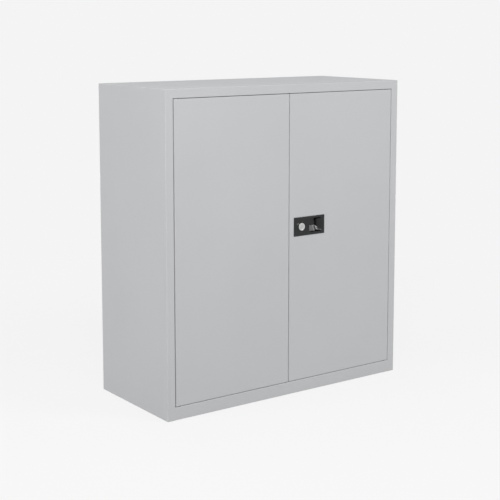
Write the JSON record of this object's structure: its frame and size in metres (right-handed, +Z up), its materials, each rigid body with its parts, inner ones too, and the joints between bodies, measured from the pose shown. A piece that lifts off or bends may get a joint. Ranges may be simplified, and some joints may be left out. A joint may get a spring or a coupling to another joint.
{
  "type": "stationery cupboard",
  "caption": "Low sheet steel cupboard with two hinged tray doors, a recessed black handle with a round lock, locking rods and an adjustable shelf.",
  "frame": {"origin": "middle of the footprint on the floor", "axes": "+Z up, the front with the doors faces -Y, +X to the right seen from the front"},
  "size_m": [0.914, 0.404, 1],
  "materials": {
    "grey_powder_coat": "fine textured satin powder coat",
    "zinc_plated_steel": "bright zinc plate",
    "black_moulding": "satin moulded",
    "nickel_plate": "satin nickel plate",
    "white_nylon": "natural moulded",
    "black_rubber": "matt"
  },
  "bodies": {
    "carcass": {"left_side_panel": "grey_powder_coat", "right_side_panel": "grey_powder_coat", "top_panel": "grey_powder_coat", "base_panel": "grey_powder_coat", "back_panel": "grey_powder_coat", "front_left_upright": "grey_powder_coat", "front_right_upright": "grey_powder_coat", "rear_left_upright": "grey_powder_coat", "rear_right_upright": "grey_powder_coat", "upper_door_stop": "grey_powder_coat", "lower_door_stop": "grey_powder_coat", "front_left_shelf_clip": "zinc_plated_steel", "front_right_shelf_clip": "zinc_plated_steel", "rear_left_shelf_clip": "zinc_plated_steel", "rear_right_shelf_clip": "zinc_plated_steel", "lower_left_hinge_pin": "zinc_plated_steel", "lower_right_hinge_pin": "zinc_plated_steel", "upper_left_hinge_pin": "zinc_plated_steel", "upper_right_hinge_pin": "zinc_plated_steel", "lower_left_buffer": "black_rubber", "lower_right_buffer": "black_rubber", "upper_left_buffer": "black_rubber", "upper_right_buffer": "black_rubber"},
    "left_door": {"left_door_skin": "grey_powder_coat", "left_door_stiffener": "grey_powder_coat", "left_door_meeting_strip": "grey_powder_coat", "lower_left_bush": "white_nylon", "upper_left_bush": "white_nylon", "lower_left_hinge_bracket": "zinc_plated_steel", "upper_left_hinge_bracket": "zinc_plated_steel"},
    "right_door": {"right_door_skin": "grey_powder_coat", "right_door_stiffener": "grey_powder_coat", "lower_right_bush": "white_nylon", "upper_right_bush": "white_nylon", "lower_right_hinge_bracket": "zinc_plated_steel", "upper_right_hinge_bracket": "zinc_plated_steel", "handle_housing": "black_moulding", "handle_clamp_bar": "zinc_plated_steel", "lower_handle_screw": "zinc_plated_steel", "upper_handle_screw": "zinc_plated_steel", "lock_case": "nickel_plate", "lock_nut": "zinc_plated_steel", "upper_inner_rod_guide": "white_nylon", "upper_outer_rod_guide": "white_nylon", "lower_inner_rod_guide": "white_nylon", "lower_outer_rod_guide": "white_nylon"},
    "lock": {"lock_barrel": "nickel_plate", "lock_cam": "zinc_plated_steel", "cam_screw": "zinc_plated_steel"},
    "upper_rod": {"upper_lock_rod": "zinc_plated_steel"},
    "lower_rod": {"lower_lock_rod": "zinc_plated_steel"},
    "shelf": {"shelf": "grey_powder_coat", "shelf_stiffener": "grey_powder_coat"}
  },
  "joints": [
    {"name": "left_door_hinge", "type": "hinge", "parent": "carcass", "child": "left_door", "pos_m": [-0.4135, -0.192, 0.0425], "axis": [0, 0, -1], "range_deg": [0, 120]},
    {"name": "right_door_hinge", "type": "hinge", "parent": "carcass", "child": "right_door", "pos_m": [0.4135, -0.192, 0.0425], "axis": [0, 0, 1], "range_deg": [0, 120]},
    {"name": "lock_turn", "type": "hinge", "parent": "right_door", "child": "lock", "pos_m": [0.0487, -0.1892, 0.5445], "axis": [0, 1, 0], "range_deg": [0, 93]},
    {"name": "upper_rod_slide", "type": "slide", "parent": "right_door", "child": "upper_rod", "axis": [0, 0, 1], "range_m": [0, 0.01838]},
    {"name": "lower_rod_slide", "type": "slide", "parent": "right_door", "child": "lower_rod", "axis": [0, 0, -1], "range_m": [0, 0.0196]},
    {"name": "shelf_lift", "type": "slide", "parent": "carcass", "child": "shelf", "axis": [0, 0, 1], "range_m": [0, 0.02]}
  ],
  "couplings": [
    {"joint": "lock_turn", "follows": "upper_rod_slide", "rad_per_m": 85.44},
    {"joint": "lower_rod_slide", "follows": "upper_rod_slide", "ratio": 1}
  ]
}
